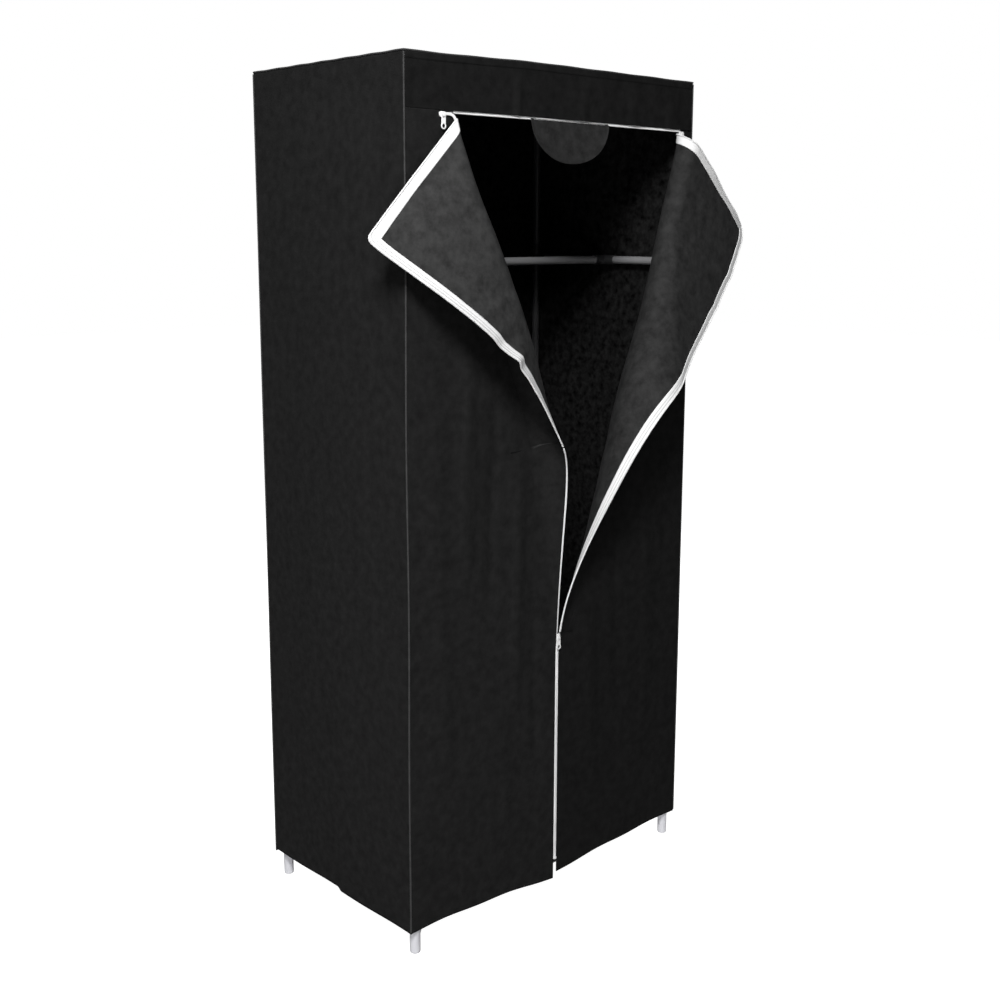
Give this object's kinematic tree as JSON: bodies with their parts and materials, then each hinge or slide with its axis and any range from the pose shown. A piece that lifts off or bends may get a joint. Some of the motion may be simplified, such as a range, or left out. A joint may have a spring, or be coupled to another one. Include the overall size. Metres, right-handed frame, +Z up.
{
  "type": "portable fabric wardrobe",
  "caption": "Free-standing clothes wardrobe: a tube frame with a hanging rail under a zipped cloth cover whose two upper front halves fold out.",
  "frame": {"origin": "middle of the front left foot's underside, on the floor", "axes": "+Z up, +X to the right seen from the front, the front faces -Y"},
  "size_m": [0.9649, 0.5727, 1.6],
  "materials": {
    "black_cloth": "matt non-woven cloth",
    "zip_tape": "white woven zip tape",
    "white_metal": "white enamel",
    "frame_tube": "gloss black powder coat",
    "pale_plastic": "moulded, satin",
    "black_plastic": "moulded, satin"
  },
  "bodies": {
    "root": {"foot_connector_front_left": "pale_plastic", "foot_connector_front_right": "pale_plastic", "foot_connector_back_left": "pale_plastic", "foot_connector_back_right": "pale_plastic", "top_connector_front_left": "pale_plastic", "top_connector_front_right": "pale_plastic", "top_connector_back_left": "pale_plastic", "top_connector_back_right": "pale_plastic", "rail_tee_front_left": "black_plastic", "rail_tee_front_right": "black_plastic", "rail_tee_back_left": "black_plastic", "rail_tee_back_right": "black_plastic", "rail_end_left": "black_plastic", "rail_end_right": "black_plastic", "upright_lower_front_left": "frame_tube", "upright_lower_front_right": "frame_tube", "upright_lower_back_left": "frame_tube", "upright_lower_back_right": "frame_tube", "upright_middle_front_left": "frame_tube", "upright_middle_front_right": "frame_tube", "upright_middle_back_left": "frame_tube", "upright_middle_back_right": "frame_tube", "upright_upper_front_left": "frame_tube", "upright_upper_front_right": "frame_tube", "upright_upper_back_left": "frame_tube", "upright_upper_back_right": "frame_tube", "bottom_bar_front": "frame_tube", "bottom_bar_back": "frame_tube", "bottom_bar_left": "frame_tube", "bottom_bar_right": "frame_tube", "top_bar_front": "frame_tube", "top_bar_back": "frame_tube", "top_bar_left": "frame_tube", "top_bar_right": "frame_tube", "rail_side_bar_left": "frame_tube", "rail_side_bar_right": "frame_tube", "hanging_rail": "frame_tube", "cover_left": "black_cloth", "cover_right": "black_cloth", "cover_back": "black_cloth", "cover_top": "black_cloth", "cover_header": "black_cloth", "front_panel_left": "black_cloth", "front_panel_right": "black_cloth", "header_tape": "zip_tape", "edge_tape_left": "zip_tape", "closed_zip": "zip_tape"},
    "flap_left": {"flap_left": "black_cloth", "flap_tape_left": "zip_tape"},
    "flap_right": {"flap_right": "black_cloth", "flap_tape_right": "zip_tape"},
    "header_tab": {"header_tab": "black_cloth"},
    "slider_header_left": {"slider_header_left": "white_metal"},
    "pull_header_left": {"pull_header_left": "white_metal"},
    "slider_header_right": {"slider_header_right": "white_metal"},
    "pull_header_right": {"pull_header_right": "white_metal"},
    "slider_middle": {"slider_middle": "white_metal"},
    "pull_middle": {"pull_middle": "white_metal"}
  },
  "joints": [
    {"name": "left_flap_fold", "type": "hinge", "parent": "root", "child": "flap_left", "pos_m": [0.0971, -0.0233, 1.5], "axis": [-0.4175, 0.0369, 0.9079], "range_deg": [0, 179]},
    {"name": "right_flap_fold", "type": "hinge", "parent": "root", "child": "flap_right", "pos_m": [0.6571, -0.0312, 1.5], "axis": [-0.3253, 0.002, -0.9456], "range_deg": [0, 179]},
    {"name": "tab_lift", "type": "hinge", "parent": "root", "child": "header_tab", "pos_m": [0.3765, -0.0116, 1.5082], "axis": [1, 0, 0], "range_deg": [-110, 0]},
    {"name": "header_left_slider_run", "type": "slide", "parent": "root", "child": "slider_header_left", "axis": [-1, 0, 0], "range_m": [-0.18, 0]},
    {"name": "header_left_pull_swing", "type": "hinge", "parent": "slider_header_left", "child": "pull_header_left", "pos_m": [0.0685, -0.01572, 1.5041], "axis": [1, 0, 0], "range_deg": [-110, 0]},
    {"name": "header_right_slider_run", "type": "slide", "parent": "root", "child": "slider_header_right", "axis": [1, 0, 0], "range_m": [-0.19, 0]},
    {"name": "header_right_pull_swing", "type": "hinge", "parent": "slider_header_right", "child": "pull_header_right", "pos_m": [0.6925, -0.01572, 1.5041], "axis": [1, 0, 0], "range_deg": [-110, 0]},
    {"name": "middle_slider_run", "type": "slide", "parent": "root", "child": "slider_middle", "axis": [0, 0.0013, 1], "range_m": [-0.455, 0]},
    {"name": "middle_pull_swing", "type": "hinge", "parent": "slider_middle", "child": "pull_middle", "pos_m": [0.3575, -0.01697, 0.537], "axis": [1, 0, 0], "range_deg": [-110, 0]}
  ]
}
